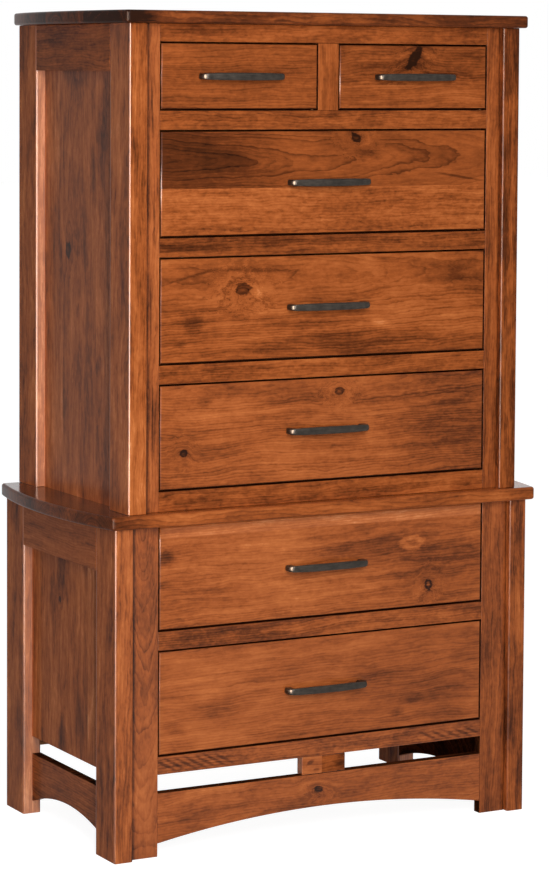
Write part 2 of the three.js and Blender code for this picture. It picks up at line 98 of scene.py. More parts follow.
def seen_directly(tree):
    """1 where the eye, a mirror or glass looks, and 0 where the surface only lights others."""
    path = tree.nodes.new("ShaderNodeLightPath").outputs
    seen = calc(tree, "MAXIMUM", path["Is Camera Ray"], path["Is Glossy Ray"])
    return calc(tree, "MAXIMUM", seen, path["Is Transmission Ray"])


def emptied(owner):
    """The node tree of a new material or world, with nothing in it."""
    owner.use_nodes = True
    owner.node_tree.nodes.clear()
    return owner.node_tree


def put_out(tree, shader, kind="ShaderNodeOutputMaterial"):
    """Links a shader to the surface of the tree's output."""
    tree.links.new(shader.outputs[0], tree.nodes.new(kind).inputs["Surface"])


def split_look(tree, lighting, seen):
    """One shader for the light that a surface gives others, one for how it looks itself."""
    mixed = {0: seen_directly(tree), 1: lighting.outputs[0], 2: seen.outputs[0]}
    return add(tree, "ShaderNodeMixShader", mixed)


room = bpy.data.worlds.new("white_room")
bpy.context.scene.world = room
tree = emptied(room)
room_fill = add(tree, "ShaderNodeBackground", {"Color": (1, 1, 1, 1), "Strength": 0.3})
room_white = add(tree, "ShaderNodeBackground", {"Color": (1, 1, 1, 1), "Strength": 1.0})
put_out(tree, split_look(tree, room_fill, room_white), "ShaderNodeOutputWorld")

paper = bpy.data.materials.new("pale_paper")
tree = emptied(paper)
paper_plain = add(tree, "ShaderNodeBsdfDiffuse", {"Color": (0.5, 0.5, 0.5, 1)})
paper_shade = add(tree, "ShaderNodeBsdfDiffuse", {"Color": (0.3, 0.3, 0.3, 1)})
paper_glow = add(tree, "ShaderNodeEmission", {"Color": (1, 1, 1, 1), "Strength": 0.93})
both = {0: paper_shade.outputs[0], 1: paper_glow.outputs[0]}
put_out(tree, split_look(tree, paper_plain, add(tree, "ShaderNodeAddShader", both)))

floor_mesh = bpy.data.meshes.new("paper_floor")
floor_reach = 30.0
floor_corners = [(x, y, 0.0) for x, y in ((-1, -1), (1, -1), (1, 1), (-1, 1))]
floor_mesh.from_pydata([Vector(c) * floor_reach for c in floor_corners], [], [(0, 1, 2, 3)])
floor_mesh.materials.append(paper)
floor = bpy.data.objects.new("paper_floor", floor_mesh)
bpy.context.scene.collection.objects.link(floor)


# Lamps. Two soft lamps stand in front, one tall and near, one high up. A broad warm screen at
# the left is only seen in the lacquer of rounded edges and in the pulls.
def soft_lamp(name, place, aim, width, height, watts, tint=(1.0, 1.0, 1.0), lights=True):
    """An area lamp at place, turned to aim; without lights it only shows in reflections."""
    data = bpy.data.lights.new(name, "AREA")
    data.shape = "RECTANGLE"
    data.size = width
    data.size_y = height
    data.energy = watts
    data.color = tint
    lamp = bpy.data.objects.new(name, data)
    lamp.visible_camera = False
    lamp.visible_diffuse = lights
    turn = (Vector(aim) - Vector(place)).to_track_quat("-Z", "Y").to_matrix()
    lamp.matrix_world = Matrix.Translation(place) @ turn.to_4x4()
    bpy.context.scene.collection.objects.link(lamp)


chest_middle = (0.0, 0.0, 0.75)
soft_lamp("front_lamp", (-1.35, -3.05, 1.45), chest_middle, 0.5, 2.5, 80.0)
soft_lamp("upper_lamp", (-0.3, -4.6, 3.0), chest_middle, 1.8, 1.6, 60.0)
screen_tint = (1.0, 0.8, 0.66)
place = (-2.4, -1.4, 1.1)
soft_lamp("left_screen", place, (-0.45, -0.2, 1.0), 1.5, 2.4, 620.0, screen_tint, lights=False)


# Corner posts of the base. Each is one stick of cherry, 38 by 86 mm, with its four long edges
# rounded over, stained reddish brown and lacquered; the wood's figure is grown in three
# dimensions, so that the faces and the end grain of a stick agree.
def shader_group(name, inputs, outputs):
    """An empty group with named inputs and outputs, and its two ends."""
    tree = bpy.data.node_groups.new(name, "ShaderNodeTree")
    kinds = {"f": "NodeSocketFloat", "v": "NodeSocketVector", "c": "NodeSocketColor"}
    for label, kind in inputs.items():
        tree.interface.new_socket(label, in_out="INPUT", socket_type=kinds[kind])
    for label, kind in outputs.items():
        tree.interface.new_socket(label, in_out="OUTPUT", socket_type=kinds[kind])
    given = tree.nodes.new("NodeGroupInput").outputs
    result = tree.nodes.new("NodeGroupOutput").inputs
    return tree, given, result


def noise(tree, place, stretch, detail=2.0, rough=0.5, twist=0.0):
    """Soft noise from 0 to 1; stretch is how many times it changes in a metre each way."""
    scaled = vector(tree, "MULTIPLY", place, stretch)
    kind = {"Scale": 1.0, "Detail": detail, "Roughness": rough, "Distortion": twist}
    return add(tree, "ShaderNodeTexNoise", {"Vector": scaled, **kind}).outputs[0]


def remap(tree, value, low, high, to_low, to_high, way="SMOOTHSTEP"):
    """Carries the range from low to high over to to_low to to_high, and holds beyond its ends."""
    ends = {"From Min": low, "From Max": high, "To Min": to_low, "To Max": to_high}
    node = add(tree, "ShaderNodeMapRange", {"Value": value, **ends}, interpolation_type=way)
    return node.outputs[0]


def seeded(tree, board, seed):
    """The board's place moved to a part of the noise of its own."""
    seed_way = (3.7, 5.3, 2.9)
    far = vector(tree, "MULTIPLY", point(tree, seed, seed, seed), seed_way)
    return vector(tree, "ADD", board, far)


# The yearly rings: distance from the tree's middle, which lies beside and behind the board and
# leans a little, so that rings run out of the face in arches. They sway slowly, by a length, and
# quickly, by a share of their spacing. Each darkens towards its late wood and ends sharply.
slow_sway = 0.03
quick_sway = 1.3
late_wood_power = 3.0
bands_along = 6.0
bands_out = 85.0
ring_lengths = ("Side", "Depth", "Lean", "Spacing", "Bulge", "Seed")
tree, given, result = shader_group(
    "growth_rings",
    {"Board": "v", **dict.fromkeys(ring_lengths, "f")},
    {"Rings": "f", "Bands": "f"},
)
growth_rings = tree
ring_place = seeded(tree, given["Board"], given["Seed"])
ring_axes = add(tree, "ShaderNodeSeparateXYZ", {0: given["Board"]}).outputs
slow = noise(tree, ring_place, (4.5, 11.0, 11.0), 2.0)
slow = calc(tree, "MULTIPLY", calc(tree, "SUBTRACT", slow, 0.5), slow_sway)
quick = noise(tree, ring_place, (26.0, 60.0, 60.0), 2.0, 0.6)
quick = calc(tree, "SUBTRACT", quick, 0.5)
quick = calc(tree, "MULTIPLY", quick, calc(tree, "MULTIPLY", given["Spacing"], quick_sway))
lean = calc(tree, "MULTIPLY", ring_axes[0], given["Lean"])
side = calc(tree, "SUBTRACT", ring_axes[1], given["Side"])
deep = calc(tree, "ADD", calc(tree, "ADD", ring_axes[2], given["Depth"]), lean)
reach = calc(tree, "MULTIPLY", side, side)
reach = calc(tree, "SQRT", calc(tree, "MULTIPLY_ADD", deep, deep, reach))
reach = calc(tree, "ADD", calc(tree, "ADD", reach, slow), quick)
reach = calc(tree, "ADD", reach, given["Bulge"])
turns = calc(tree, "DIVIDE", reach, given["Spacing"])
within = calc(tree, "FRACT", turns)
late = calc(tree, "POWER", within, late_wood_power)
late = calc(tree, "MULTIPLY", late, remap(tree, within, 0.9, 1.0, 1.0, 0.0))
year = calc(tree, "ADD", calc(tree, "FLOOR", turns), given["Seed"])
chance = add(tree, "ShaderNodeTexWhiteNoise", {"W": year}, noise_dimensions="1D")
strength = remap(tree, chance.outputs[0], 0.0, 1.0, 0.35, 1.3, "LINEAR")
tree.links.new(calc(tree, "MULTIPLY", late, strength), result["Rings"])
band_along = calc(tree, "MULTIPLY_ADD", ring_axes[0], bands_along, given["Seed"])
band_out = calc(tree, "MULTIPLY", reach, bands_out)
band_place = point(tree, band_along, band_out, given["Seed"])
band = noise(tree, band_place, (1.0, 1.0, 1.0), 3.0, 0.55)
tree.links.new(band, result["Bands"])

# Fibres: fine streaks that run with the grain, and short dark pores.
tree, given, result = shader_group(
    "wood_fibres", {"Board": "v", "Seed": "f"}, {"Streaks": "f", "Pores": "f"}
)
wood_fibres = tree
fibre_place = seeded(tree, given["Board"], given["Seed"])
fine = noise(tree, fibre_place, (30.0, 330.0, 330.0), 3.0, 0.6, 0.5)
tree.links.new(fine, result["Streaks"])
pore = noise(tree, fibre_place, (55.0, 1100.0, 1100.0), 1.0)
tree.links.new(remap(tree, pore, 0.6, 0.74, 0.0, 1.0), result["Pores"])

# Stain takes unevenly on cherry: cloudy light and dark, with small curly flecks.
wide_share, small_share = 0.64, 0.36
tree, given, result = shader_group(
    "stain_clouds", {"Board": "v", "Seed": "f"}, {"Clouds": "f", "Flecks": "f"}
)
stain_clouds = tree
cloud_place = seeded(tree, given["Board"], given["Seed"])
wide_cloud = noise(tree, cloud_place, (3.2, 10.0, 10.0), 3.0, 0.55, 0.8)
small_cloud = noise(tree, cloud_place, (15.0, 44.0, 44.0), 4.0, 0.65, 0.7)
small_cloud = calc(tree, "MULTIPLY", small_cloud, small_share)
both_clouds = calc(tree, "MULTIPLY_ADD", wide_cloud, wide_share, small_cloud)
tree.links.new(both_clouds, result["Clouds"])
fleck = noise(tree, cloud_place, (75.0, 130.0, 130.0), 2.0, 0.6, 0.5)
tree.links.new(fleck, result["Flecks"])

# How far a point lies from the middle of a knot or a patch, where 1 is its edge.
tree, given, result = shader_group(
    "spot_distance",
    {"Board": "v", "Middle": "v", "Length": "f", "Width": "f", "Turn": "f", "Ragged": "f"},
    {"Distance": "f"},
)
spot_distance = tree
off = vector(tree, "SUBTRACT", given["Board"], given["Middle"])
off = {"Vector": off, "Angle": given["Turn"]}
off = add(tree, "ShaderNodeVectorRotate", off, rotation_type="Z_AXIS").outputs[0]
spot_axes = add(tree, "ShaderNodeSeparateXYZ", {0: off}).outputs
spot_x = calc(tree, "DIVIDE", spot_axes[0], given["Length"])
spot_y = calc(tree, "DIVIDE", spot_axes[1], given["Width"])
spot_far = calc(tree, "MULTIPLY", spot_x, spot_x)
spot_far = calc(tree, "MULTIPLY_ADD", spot_y, spot_y, spot_far)
spot_far = calc(tree, "SQRT", spot_far)
wobble = noise(tree, given["Board"], (60.0, 110.0, 110.0), 3.0, 0.6)
wobble = remap(tree, wobble, 0.25, 0.75, -0.4, 0.5)
wobble = calc(tree, "MULTIPLY_ADD", wobble, given["Ragged"], 1.0)
spot_far = calc(tree, "MULTIPLY", spot_far, wobble)
tree.links.new(spot_far, result["Distance"])

# A knot pushes the rings aside and has a dark heart, darkest near its rim, in a faint halo.
tree, given, result = shader_group(
    "wood_knot", {"Distance": "f", "Push": "f"}, {"Bulge": "f", "Dark": "f"}
)
wood_knot = tree
bulge = remap(tree, given["Distance"], 0.0, 5.0, 1.0, 0.0)
tree.links.new(calc(tree, "MULTIPLY", bulge, given["Push"]), result["Bulge"])
heart = remap(tree, given["Distance"], 0.8, 1.15, 1.0, 0.0)
rim = remap(tree, given["Distance"], 0.2, 0.8, 0.75, 1.0)
heart = calc(tree, "MULTIPLY", heart, rim)
halo = remap(tree, given["Distance"], 0.9, 2.4, 0.22, 0.0)
tree.links.new(calc(tree, "ADD", heart, halo), result["Dark"])


def tone_ramp(name, stops):
    """A group that turns a tone from 0, dark, to 1, pale, into a colour."""
    tree, given, result = shader_group(name, {"Tone": "f"}, {"Colour": "c"})
    ramp = add(tree, "ShaderNodeValToRGB", {0: given["Tone"]})
    scale = ramp.color_ramp.elements
    for number, (place, colour) in enumerate(stops):
        stop = scale[number] if number < 2 else scale.new(place)
        stop.position = place
        stop.color = (*colour, 1.0)
    tree.links.new(ramp.outputs[0], result["Colour"])
    return tree


cherry_tones = [
    (0.0, (0.022, 0.007, 0.003)),
    (1.0, (0.70, 0.28, 0.115)),
    (0.25, (0.115, 0.028, 0.008)),
    (0.5, (0.30, 0.075, 0.0175)),
    (0.75, (0.46, 0.133, 0.035)),
]
cherry_stain = tone_ramp("cherry_stain", cherry_tones)
middle_tone = 0.5
knot_ragged = 0.6
knot_darkness = 0.36
patch_wobble = 0.015
patch_slimness = 2.5
patch_core, patch_rim = 0.3, 1.25
pore_darkness = 0.06
ring_relief, fibre_relief, pore_relief = 0.5, 0.6, 0.3
fibre_roughness = 0.12


def wood_finish(
    name, grain, face, middle, seed, tone=0.0, side=0.12, depth=0.05, lean=0.03, spacing=0.005,
    rings=0.17, bands=0.6, clouds=0.9, streaks=0.2, flecks=0.3, knots=(), patches=(),
    colours=cherry_stain, rough=0.24, shine=0.018,
):
    """Wood of one board. grain and face name the axes that run with its fibres and through it;
    knots are (along, across, length, width, push, turn), patches (along, across, length, width,
    tone, turn), both measured from the board's middle. The edge of a long or slim patch wobbles
    less, so that it stays whole."""
    finish = bpy.data.materials.new(name)
    tree = emptied(finish)
    here = tree.nodes.new("ShaderNodeTexCoord").outputs["Object"]
    here = vector(tree, "SUBTRACT", here, middle)
    axes = add(tree, "ShaderNodeSeparateXYZ", {0: here}).outputs
    along, through = "xyz".index(grain), "xyz".index(face)
    across = ({0, 1, 2} - {along, through}).pop()
    board = point(tree, axes[along], axes[across], axes[through])
    flat = vector(tree, "MULTIPLY", board, (1, 1, 0))

    def place(group, **inputs):
        return add(tree, "ShaderNodeGroup", inputs, node_tree=group).outputs

    def spot(along, over, length, width, turn, ragged):
        middle = (along, over, 0.0)
        values = {"Board": flat, "Middle": middle, "Length": length, "Width": width}
        return place(spot_distance, Turn=turn, Ragged=ragged, **values)["Distance"]

    level = middle_tone + tone
    bulge = 0.0
    for along, over, length, width, push, turn in knots:
        knot = spot(along, over, length, width, turn, knot_ragged)
        knot = place(wood_knot, Distance=knot, Push=push)
        bulge = calc(tree, "ADD", bulge, knot["Bulge"])
        level = calc(tree, "MULTIPLY_ADD", knot["Dark"], -knot_darkness, level)
    for along, over, length, width, change, turn in patches:
        ragged = min(1.0, patch_wobble / length, patch_slimness * width / length)
        patch = spot(along, over, length, width, turn, ragged)
        patch = remap(tree, patch, patch_core, patch_rim, change, 0.0)
        level = calc(tree, "ADD", patch, level)
    own = {"Board": board, "Seed": seed}
    pith = {"Side": side, "Depth": depth, "Lean": lean}
    ring = place(growth_rings, Spacing=spacing, Bulge=bulge, **pith, **own)
    fibre = place(wood_fibres, **own)
    cloud = place(stain_clouds, **own)
    effects = [
        (cloud["Clouds"], clouds),
        (cloud["Flecks"], flecks),
        (ring["Bands"], bands),
        (fibre["Streaks"], streaks),
    ]
    level = calc(tree, "SUBTRACT", level, sum(share for _, share in effects) / 2)
    for effect, share in effects:
        level = calc(tree, "MULTIPLY_ADD", effect, share, level)
    level = calc(tree, "MULTIPLY_ADD", ring["Rings"], -rings, level)
    level = calc(tree, "MULTIPLY_ADD", fibre["Pores"], -pore_darkness, level)
    height = calc(tree, "MULTIPLY", ring["Rings"], ring_relief)
    height = calc(tree, "MULTIPLY_ADD", fibre["Streaks"], fibre_relief, height)
    height = calc(tree, "MULTIPLY_ADD", fibre["Pores"], -pore_relief, height)
    rough -= fibre_roughness / 2
    relief = {"Strength": 0.1, "Distance": 0.0005, "Height": height}
    look = {
        "Base Color": place(colours, Tone=level)["Colour"],
        "Roughness": calc(tree, "MULTIPLY_ADD", fibre["Streaks"], fibre_roughness, rough),
        "Specular IOR Level": shine,
        "Normal": add(tree, "ShaderNodeBump", relief).outputs[0],
    }
    put_out(tree, add(tree, "ShaderNodeBsdfPrincipled", look))
    return finish


edge_gloss = 0.3
edge_rough = 0.3


def finished(name, *place, edge_shine=edge_gloss, **look):
    """The finish of a board's faces, and that of its rounded edges, which are made glossier to
    catch a highlight.
    """
    faces = wood_finish(name, *place, **look)
    if not edge_shine:
        return [faces, faces]
    edge = {**look, "shine": edge_shine, "rough": edge_rough}
    return [faces, wood_finish(f"{name}_edge", *place, **edge)]


def shown(name, form, node, finishes, body="carcass"):
    """Makes the piece, puts it on its body in place of the plain node, and evens its rounds."""
    mesh = bpy.data.meshes.new(name)
    form.to_mesh(mesh)
    form.free()
    mesh.polygons.foreach_set("use_smooth", [True] * len(mesh.polygons))
    for finish in finishes:
        mesh.materials.append(finish)
    piece = bpy.data.objects.new(name, mesh)
    bpy.context.scene.collection.objects.link(piece)
    piece.modifiers.new("even_faces", "WEIGHTED_NORMAL").weight = 100
    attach(piece, body)
    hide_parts(node)


def sawn(low, high):
    """A squared stick between its low and its high corner."""
    stick = bmesh.new()
    bmesh.ops.create_cube(stick, size=1.0)
    for vert in stick.verts:
        vert.co = [(low[k] + high[k]) / 2 + vert.co[k] * (high[k] - low[k]) for k in range(3)]
    return stick


def round_over(form, radius, steps, chosen):
    """Rounds the edges that chosen(one end, other end) picks."""
    edges = [e for e in form.edges if chosen(e.verts[0].co, e.verts[1].co)]
    how = {"segments": steps, "profile": 0.5, "affect": "EDGES", "material": 1}
    bmesh.ops.bevel(form, geom=edges, offset=radius, clamp_overlap=True, **how)


# How near two places are to count as one, how nearly an edge runs along an axis to count as
# parallel, and how far a normal points along one for its face to be square on or half turned.
same_place = 1e-6
parallel = 0.999
square_on = 0.9
half_turned = 0.4


def runs_along(axis):
    """Picks the edges that run the whole way along an axis."""
    return lambda a, b: abs((b - a).normalized()["xyz".index(axis)]) > parallel


def lies_at(axis, *levels):
    """Picks the edges that lie wholly at one of the levels along an axis."""
    k = "xyz".index(axis)
    return lambda a, b: any(max(abs(a[k] - v), abs(b[k] - v)) < same_place for v in levels)


def stick_of(low, high, grain, radius, ends=0.0008, steps=4):
    """A straight stick, its long edges rounded and its ends just eased."""
    stick = sawn(low, high)
    round_over(stick, radius, steps, runs_along(grain))
    k = "xyz".index(grain)
    round_over(stick, ends, 2, lies_at(grain, low[k], high[k]))
    return stick


def middle_of(low, high):
    """The middle between two corners."""
    return tuple((low[k] + high[k]) / 2 for k in range(3))


def gloss_for_left_highlight(form):
    """Keeps the glossier finish only on the rounded edges that face left, towards the light, as a
    painted highlight.
    """
    least_turn = 0.2
    form.normal_update()
    for face in form.faces:
        if face.material_index % 2 and face.normal.x > -least_turn:
            face.material_index -= 1
    return form


def faces_along(axis, sign=0):
    """A test for faces square to an axis, both ways or only the way of the sign."""
    k = "xyz".index(axis)
    return lambda n: n[k] * sign > square_on if sign else abs(n[k]) > square_on


def shade_gap_faces(form, finishes, chosen):
    """Darkens the chosen faces, which line the gaps round the drawers, with painted shade."""
    form.normal_update()
    for face in form.faces:
        if chosen(face.normal):
            face.material_index = len(finishes)
    return [*finishes, painted_gap_shade]


def wooden_stick(
    name, node, low, high, grain, face, radius, look, body="carcass", slot="case_wood", gaps=None
):
    """One stick of wood with a finish of its own, in place of a node; gaps tells by their normals
    which of its faces line a gap and get painted shade. Only broad roundings that face left are
    glossier than the faces, as a painted highlight."""
    broad = 0.002
    look = {"edge_shine": edge_gloss if radius > broad else 0.0, **look}
    finishes = finished(f"{name}_wood", grain, face, middle_of(low, high), **look)
    form = gloss_for_left_highlight(stick_of(low, high, grain, radius))
    if gaps:
        finishes = shade_gap_faces(form, finishes, gaps)
    shown(name, form, node, finishes, body)


upright_look = {"clouds": 1.25, "bands": 0.9, "streaks": 0.4}
# The gap finish is painted shade: a dark, dull wood for the faces inside the gaps, where shade
# falls.
gap_shade_look = {"tone": -0.4, "clouds": 0.3, "shine": 0.0, "rough": 0.7}
painted_gap_shade = wood_finish("painted_gap_shade", "x", "z", (0.0, 0.0, 0.0), 5.0, **gap_shade_look)
post_round = 0.004
base_post_looks = {
    "front_left": {"seed": 1.0, "tone": 0.035, "side": 0.03, "depth": 0.06},
    "front_right": {"seed": 2.1, "tone": -0.03, "side": 0.1, "shine": 0.1, "edge_shine": 0.15},
    "back_left": {"seed": 3.2, "tone": 0.08, "side": 0.08, "depth": 0.07},
    "back_right": {"seed": 4.3, "side": 0.05, "depth": 0.09},
}


def corner_post(case, place, look, front=None):
    """A post. front holds what differs on its front face; a rear post's front face is painted
    paler, as painted light and sheen, and is glossy.
    """
    if place.startswith("back"):
        # Painted light: the rear posts' front faces are made paler and hazier than their wood.
        front = {"tone": look.get("tone", 0.0) + 0.14, "shine": 0.9, "rough": 0.5}
    node = f"{case}_post_{place}"
    low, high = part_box(node)
    look = {**upright_look, **look}
    finishes = finished(f"{node}_wood", "z", "y", middle_of(low, high), **look)
    form = gloss_for_left_highlight(stick_of(low, high, "z", post_round))
    if front:
        front = {**look, **front}
        finishes.append(wood_finish(f"{node}_front", "z", "y", middle_of(low, high), **front))
        for face in form.faces:
            if face.normal.y < -square_on:
                face.material_index = 2
    shown(f"{node}_stick", form, node, finishes)


for place, look in base_post_looks.items():
    corner_post("base", place, look, {"shine": 0.16} if place == "front_left" else None)

# Face-frame stiles of the base. Flat boards glued behind the front posts' inner faces, from the
# floor to the top, set back 13 mm; their edges are only eased.
frame_round = 0.001
# The side faces of the stiles and of the divider line the drawer openings and get painted shade.
side_gaps = faces_along("x")
base_stile_looks = {
    "left": {
        "seed": 7.3, "tone": -0.02, "side": -0.004, "depth": 0.06, "lean": -0.15,
        "rings": 0.18, "shine": 0.2,
    },
    "right": {"seed": 8.1, "tone": -0.09, "side": 0.06, "shine": 0.12},
}


def face_stile(case, hand, look):
    """A stile with painted shade along the crease by the post, stronger and wider on the left."""
    node = f"{case}_stile_{hand}"
    low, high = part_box(node)
    half = (high[0] - low[0]) / 2
    # The dark line along the edge by the post is painted shade in the crease between post and
    # stile.
    over, width, change = (-half, 0.0105, -0.42) if hand == "left" else (half, 0.004, -0.15)
    endless = 3.0
    line = (0.0, over, endless, width, change, 0.0)
    look = {**look, "patches": [line, *look.get("patches", ())]}
    wooden_stick(f"{node}_board", node, low, high, "z", "y", frame_round, look, gaps=side_gaps)


for hand, look in base_stile_looks.items():
    face_stile("base", hand, look)


# Side rails and side panels of the base. A stout rail joins each front post to its back post
# under the top, flush with them. The panel below it is glued up from upright boards and stands
# 19 mm back, with its edges in grooves of the posts and the rail.
def glued_up(form, axis, joints):
    """Cuts the form at the joints and gives each board two finishes, from the low end up."""
    k = "xyz".index(axis)
    for joint in joints:
        normal = Vector(float(k == n) for n in range(3))
        every = form.verts[:] + form.edges[:] + form.faces[:]
        bmesh.ops.bisect_plane(form, geom=every, plane_co=normal * joint, plane_no=normal)
    for face in form.faces:
        at = face.calc_center_median()[k]
        face.material_index += 2 * sum(at > joint for joint in joints)
    return form


def boards_of(name, low, high, grain, face, axis, joints, looks, **shared):
    """The finishes of a glued-up piece, one for each board."""
    k = "xyz".index(axis)
    edges = [low[k], *joints, high[k]]
    finishes = []
    for number, look in enumerate(looks):
        middle = list(middle_of(low, high))
        middle[k] = (edges[number] + edges[number + 1]) / 2
        look = {**shared, **look}
        finishes += finished(f"{name}_{number + 1}", grain, face, tuple(middle), **look)
    return finishes


stub_tenon = 0.014


def shoulders(node, axis):
    """The low and high corner of a node without the tenons at its two ends."""
    low, high = (list(corner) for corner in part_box(node))
    low["xyz".index(axis)] += stub_tenon
    high["xyz".index(axis)] -= stub_tenon
    return low, high


def side_rail(node, look):
    """A rail between a front and a back post."""
    place = (*shoulders(node, "y"), "y", "x", frame_round)
    wooden_stick(f"{node}_board", node, *place, look)


def side_panel(node, joints, looks):
    """A panel of upright boards, listed from the front to the back."""
    low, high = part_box(node)
    form = glued_up(sawn(low, high), "y", joints)
    finishes = boards_of(node, low, high, "z", "x", "y", joints, looks, **upright_look)
    shown(f"{node}_boards", form, node, finishes)


side_rail("base_side_rail_left", {"seed": 11.0, "tone": 0.03, "clouds": 0.7})
side_rail("base_side_rail_right", {"seed": 12.0, "tone": -0.02})
base_panel_joints = (-0.118, -0.086, 0.095)
base_panel_looks = {
    "left": [
        {"seed": 21.0, "tone": 0.04, "side": 0.06},
        {"seed": 22.0, "tone": 0.18, "side": 0.09},
        {
            "seed": 23.0, "tone": 0.03, "side": 0.02,
            "knots": [(0.1, 0.038, 0.006, 0.0045, 0.012, 0.0)],
            "patches": [
                (-0.165, 0.03, 0.05, 0.02, -0.3, 0.2),
                (0.05, -0.02, 0.16, 0.05, 0.08, 0.0),
            ],
        },
        {"seed": 24.0, "tone": 0.09, "side": 0.1},
    ],
    "right": [{"seed": 25.0 + k, "tone": 0.04 * (k % 2), "side": 0.03 * k} for k in range(4)],
}
for hand, looks in base_panel_looks.items():
    side_panel(f"base_side_panel_{hand}", base_panel_joints, looks)


# Aprons and spacer. Boards with a long low arch sawn out of their lower edge close the foot of
# the front and of both sides; above them an open slot runs round, and a short block on the front
# apron holds up the rail over it.
def arched_board(low, high, run, rise, steps=48):
    """A board whose lower edge is arched along the axis that it runs on."""
    k = "xyz".index(run)
    through = 1 - k
    half = (high[k] - low[k]) / 2
    centre = (high[k] + low[k]) / 2
    radius = (half * half + rise * rise) / (2 * rise)
    swing = math.asin(half / radius)
    points = []
    for step in range(steps + 1):
        angle = swing * (2 * step / steps - 1)
        lift = low[2] + rise - radius * (1 - math.cos(angle))
        points.append((centre + radius * math.sin(angle), lift))
    form = bmesh.new()
    rows = []
    for depth in (low[through], high[through]):
        row = []
        for along, lift in points:
            spot = (along, depth) if k == 0 else (depth, along)
            row += [form.verts.new((*spot, height)) for height in (lift, high[2])]
        rows.append(row)
    near, far = rows
    for step in range(steps):
        a, b, c, d = 2 * step, 2 * step + 1, 2 * step + 3, 2 * step + 2
        form.faces.new((near[a], near[d], near[c], near[b]))
        form.faces.new((far[a], far[b], far[c], far[d]))
        form.faces.new((near[a], far[a], far[d], near[d]))
        form.faces.new((near[b], near[c], far[c], far[b]))
    last = 2 * steps
    form.faces.new((near[0], near[1], far[1], far[0]))
    form.faces.new((near[last], far[last], far[last + 1], near[last + 1]))
    bmesh.ops.recalc_face_normals(form, faces=form.faces[:])
    return form


def eased(form, radius=0.0015, steps=3):
    """Eases every sharp edge of a form."""
    sharp = 0.6
    edges = [e for e in form.edges if len(e.link_faces) == 2 and e.calc_face_angle() > sharp]
    how = {"segments": steps, "profile": 0.5, "affect": "EDGES", "material": 1}
    bmesh.ops.bevel(form, geom=edges, offset=radius, **how)
    return form


apron_knots = [(-0.011, 0.018, 0.011, 0.006, 0.03, 0.3)]
apron_looks = {
    "front": ("x", "y", 0.032, {"seed": 31.0, "shine": 0.15, "knots": apron_knots}),
    "left": ("y", "x", 0.030, {"seed": 32.0, "tone": -0.04, "rings": 0.25}),
    "right": ("y", "x", 0.030, {"seed": 33.0, "tone": -0.04}),
}
for place, (run, face, rise, look) in apron_looks.items():
    node = f"base_apron_{place}"
    low, high = shoulders(node, run)
    finishes = finished(f"{node}_wood", run, face, middle_of(low, high), edge_shine=0.0, **look)
    form = eased(arched_board(low, high, run, rise))
    # The apron's inner face and its top, inside the slot, get the painted gap shade.
    inner = faces_along(*{"left": ("x", 1), "right": ("x", -1), "front": ("y", 1)}[place])
    finishes = shade_gap_faces(form, finishes, lambda n: inner(n) or n.z > half_turned)
    shown(f"{node}_board", form, node, finishes)
spacer_joint = (-0.004,)
spacer_looks = [
    {
        "seed": 34.0, "tone": 0.14, "shine": 0.14,
        "patches": [
            (-0.004, 0.006, 0.012, 0.005, -0.3, -0.4),
            (0.01, -0.01, 0.01, 0.004, -0.22, 0.0),
        ],
    },
    {"seed": 34.5, "tone": -0.08, "patches": [(0.022, 0.0, 0.024, 0.03, -0.22, 0.0)]},
]
low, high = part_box("base_spacer")
form = glued_up(eased(sawn(low, high), 0.001), "x", spacer_joint)
finishes = boards_of("base_spacer", low, high, "x", "y", "x", spacer_joint, spacer_looks)
shown("base_spacer_block", form, "base_spacer", finishes)

# Back of the base. A plywood panel let into the back posts closes it, and a rail below the panel
# ties the two back posts together.
inner_wood_tones = [
    (0.0, (0.05, 0.020, 0.008)),
    (1.0, (0.66, 0.36, 0.17)),
    (0.35, (0.24, 0.092, 0.033)),
    (0.6, (0.40, 0.175, 0.068)),
]
inner_wood_stain = tone_ramp("inner_wood_stain", inner_wood_tones)
inner_look = {"colours": inner_wood_stain, "rough": 0.42, "shine": 0.2, "clouds": 0.35}
sheet_look = {"seed": 41.0, "side": 0.02, "depth": 0.1, "lean": 0.12, "spacing": 0.012}
back_round = 0.0006


def inner_stick(name, node, low, high, grain, face, radius, look):
    """One stick of the paler inner wood."""
    look = {**inner_look, **look}
    wooden_stick(name, node, low, high, grain, face, radius, look, slot="inner_wood")


place = (*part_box("base_back_panel"), "z", "y", back_round)
inner_stick("base_back_sheet", "base_back_panel", *place, sheet_look)
place = (*shoulders("base_back_rail", "x"), "x", "y", frame_round)
inner_stick("base_back_rail_board", "base_back_rail", *place, {"seed": 42.0})

# Web frames of the base. Behind each rail that shows lies a frame of paler wood: a front and a
# back member, and two deep runners that the drawers slide on, with a guide strip on each.
web_stock = 0.020
web_width = 0.050
guide_height = 0.012
guide_stock = 0.012
runner_reach = 0.031
face_stock = 0.020
glue_gap = 0.0003
box_side_gap = 0.005
guide_gap = 0.001
member_round = 0.0005
seed_step = 0.1
jamb = -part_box("base_stile_left")[1][0]
rail_look = {"clouds": 1.0, "flecks": 0.4, "tone": -0.04}


